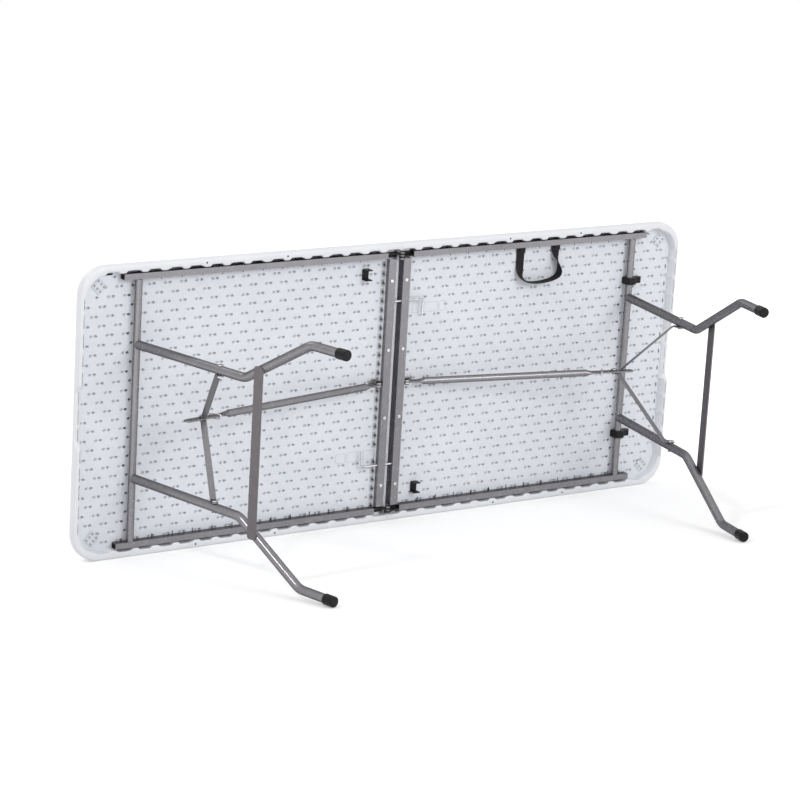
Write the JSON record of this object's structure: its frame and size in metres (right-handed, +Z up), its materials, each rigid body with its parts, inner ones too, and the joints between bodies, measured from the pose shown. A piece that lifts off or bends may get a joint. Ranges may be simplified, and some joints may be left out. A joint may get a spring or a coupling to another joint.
{
  "type": "folding table",
  "caption": "Rectangular table with a hollow moulded top that folds in half on a centre hinge, on bent tube legs that fold flat under it with braces, straps and lock rings.",
  "frame": {"origin": "on the floor under the middle of the table, bottom centre of the bounding box", "axes": "+Z up, +X along the table's length towards the half with the carry strap, +Y across its width away from the strap"},
  "size_m": [1.8, 0.724, 0.7273],
  "materials": {
    "white_plastic": "satin moulded polyethylene",
    "grey_paint": "grey hammer paint",
    "dark_steel": "dark steel",
    "zinc": "bright zinc",
    "black_plastic": "black moulded plastic",
    "webbing": "woven black webbing"
  },
  "bodies": {
    "left_half": {"left_top": "white_plastic", "left_rail_front": "grey_paint", "left_rail_back": "grey_paint", "left_beam": "grey_paint", "left_rivets": "zinc", "left_leaf_front": "dark_steel", "left_leaf_back": "dark_steel", "left_bracket": "grey_paint", "left_bracket_pin": "zinc", "left_leg_clip": "black_plastic", "hinge_pin_front": "zinc", "hinge_pin_back": "zinc"},
    "left_leg": {"left_cross_tube": "grey_paint", "left_leg_front": "grey_paint", "left_leg_back": "grey_paint", "left_spreader": "grey_paint", "left_foot_front": "black_plastic", "left_foot_back": "black_plastic", "left_strap_rivets": "zinc"},
    "left_yoke": {"left_strap_front": "grey_paint", "left_strap_back": "grey_paint", "left_knee_studs": "zinc"},
    "left_brace": {"left_brace": "grey_paint"},
    "left_ring": {"left_lock_ring": "zinc"},
    "left_bolt": {"left_bolt": "zinc"},
    "right_half": {"right_top": "white_plastic", "right_rail_front": "grey_paint", "right_rail_back": "grey_paint", "right_beam": "grey_paint", "right_rivets": "zinc", "right_leaf_front": "dark_steel", "right_leaf_back": "dark_steel", "right_bracket": "grey_paint", "right_bracket_pin": "zinc", "right_leg_clip": "black_plastic", "catch_front": "black_plastic", "catch_back": "black_plastic", "carry_strap": "webbing", "carry_plates": "zinc"},
    "right_leg": {"right_cross_tube": "grey_paint", "right_leg_front": "grey_paint", "right_leg_back": "grey_paint", "right_spreader": "grey_paint", "right_foot_front": "black_plastic", "right_foot_back": "black_plastic", "right_strap_rivets": "zinc"},
    "right_yoke": {"right_strap_front": "grey_paint", "right_strap_back": "grey_paint", "right_knee_studs": "zinc"},
    "right_brace": {"right_brace": "grey_paint"},
    "right_ring": {"right_lock_ring": "zinc"},
    "right_bolt": {"right_bolt": "zinc"}
  },
  "joints": [
    {"name": "table_fold", "type": "hinge", "parent": "left_half", "child": "right_half", "pos_m": [0, 0, 0.68531], "axis": [0, 1, 0], "range_deg": [0, 75]},
    {"name": "left_leg_fold", "type": "hinge", "parent": "left_half", "child": "left_leg", "pos_m": [-0.743, 0, 0.69531], "axis": [0, -1, 0], "range_deg": [0, 78.7]},
    {"name": "left_strap_turn", "type": "hinge", "parent": "left_leg", "child": "left_yoke", "pos_m": [-0.6849, 0, 0.40456], "axis": [0, -1, 0], "range_deg": [0, 30.9]},
    {"name": "left_brace_turn", "type": "hinge", "parent": "left_half", "child": "left_brace", "pos_m": [-0.044, 0, 0.69531], "axis": [0, -1, 0], "range_deg": [-11.3, 0]},
    {"name": "left_ring_slide", "type": "slide", "parent": "left_brace", "child": "left_ring", "axis": [0.9809, 0, 0.1943], "range_m": [-0.008, 0.02]},
    {"name": "left_bolt_slide", "type": "slide", "parent": "left_half", "child": "left_bolt", "axis": [-1, 0, 0], "range_m": [-0.0015, 0.014]},
    {"name": "right_leg_fold", "type": "hinge", "parent": "right_half", "child": "right_leg", "pos_m": [0.743, 0, 0.69531], "axis": [0, 1, 0], "range_deg": [0, 78.7]},
    {"name": "right_strap_turn", "type": "hinge", "parent": "right_leg", "child": "right_yoke", "pos_m": [0.6849, 0, 0.40456], "axis": [0, 1, 0], "range_deg": [0, 30.9]},
    {"name": "right_brace_turn", "type": "hinge", "parent": "right_half", "child": "right_brace", "pos_m": [0.044, 0, 0.69531], "axis": [0, 1, 0], "range_deg": [-11.3, 0]},
    {"name": "right_ring_slide", "type": "slide", "parent": "right_brace", "child": "right_ring", "axis": [-0.9809, 0, 0.1943], "range_m": [-0.008, 0.02]},
    {"name": "right_bolt_slide", "type": "slide", "parent": "right_half", "child": "right_bolt", "axis": [1, 0, 0], "range_m": [0, 0.016]}
  ],
  "couplings": [
    {"joint": "left_strap_turn", "follows": "left_leg_fold", "ratio": 0.39226},
    {"joint": "left_brace_turn", "follows": "left_leg_fold", "ratio": -0.14238},
    {"joint": "right_strap_turn", "follows": "right_leg_fold", "ratio": 0.39226},
    {"joint": "right_brace_turn", "follows": "right_leg_fold", "ratio": -0.14238}
  ]
}
